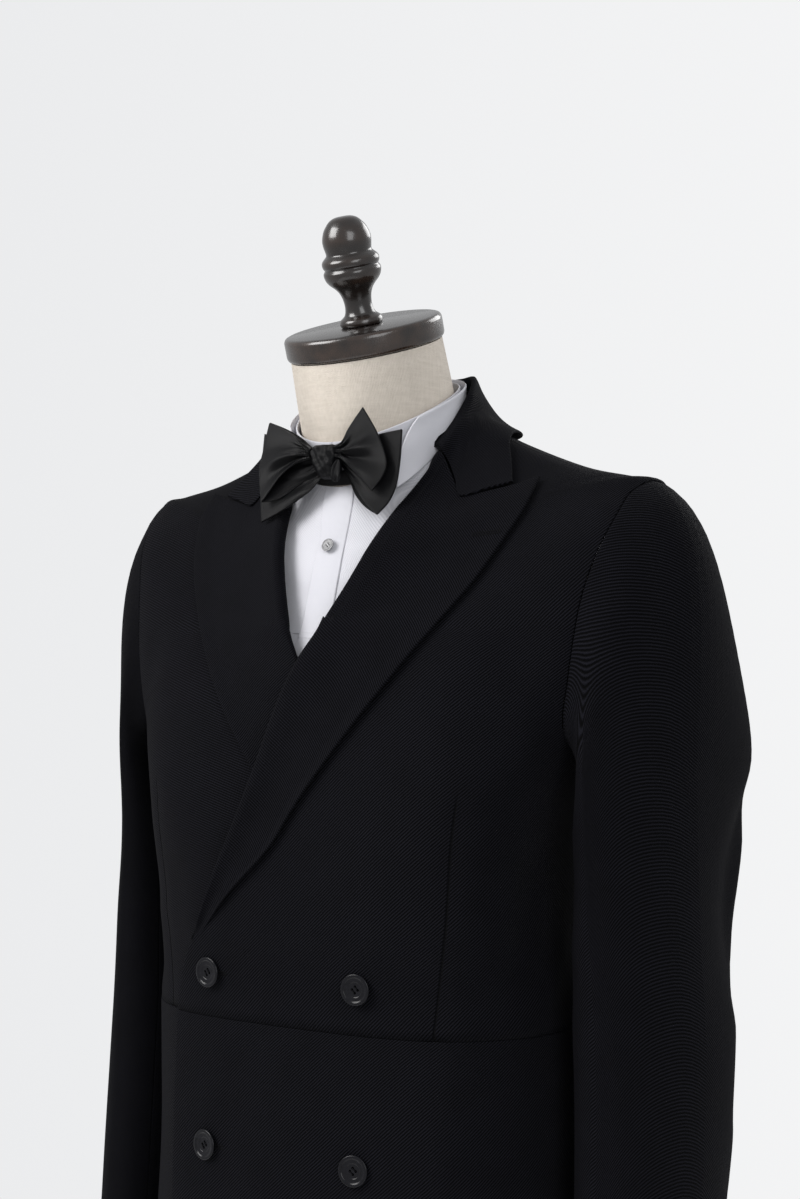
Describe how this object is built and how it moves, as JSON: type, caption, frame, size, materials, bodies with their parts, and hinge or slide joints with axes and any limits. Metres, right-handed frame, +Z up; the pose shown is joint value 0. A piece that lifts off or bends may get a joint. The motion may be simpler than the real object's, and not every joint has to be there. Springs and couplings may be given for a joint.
{
  "type": "tuxedo jacket with dress shirt and bow tie on a dress form",
  "caption": "Double-breasted evening jacket with peak lapels, worn with a dress shirt and self-tied bow tie by a limbless dress form with a turned finial on a pole and round base.",
  "frame": {"origin": "middle of the base's underside, on the floor", "axes": "+Z up, the front faces -Y, the wearer's left is +X"},
  "size_m": [0.509, 0.38, 1.6266],
  "materials": {
    "wool": "matte twill",
    "cotton": "matte",
    "satin": "ribbed satin",
    "horn": "polished",
    "pearl": "polished",
    "linen": "matte weave",
    "wood": "dark stain, satin",
    "steel": "satin"
  },
  "bodies": {
    "root": {"base": "steel", "bow_knot": "satin", "bow_left_back_wing": "satin", "bow_left_front_wing": "satin", "bow_neck_band": "satin", "bow_right_back_wing": "satin", "bow_right_front_wing": "satin", "button_lower_left": "horn", "button_lower_right": "horn", "button_upper_left": "horn", "button_upper_right": "horn", "collar": "wool", "finial": "wood", "form": "linen", "left_back": "wool", "left_back_skirt": "wool", "left_front": "wool", "left_front_skirt": "wool", "left_lapel": "wool", "left_top_sleeve": "wool", "left_under_sleeve": "wool", "neck_cap": "wood", "pole": "steel", "right_back": "wool", "right_back_skirt": "wool", "right_front": "wool", "right_front_skirt": "wool", "right_lapel": "wool", "right_top_sleeve": "wool", "right_under_sleeve": "wool", "shirt_back": "cotton", "shirt_band": "cotton", "shirt_button": "pearl", "shirt_collar_leaf": "cotton", "shirt_left_front": "cotton", "shirt_placket": "cotton", "shirt_right_front": "cotton"}
  },
  "joints": []
}
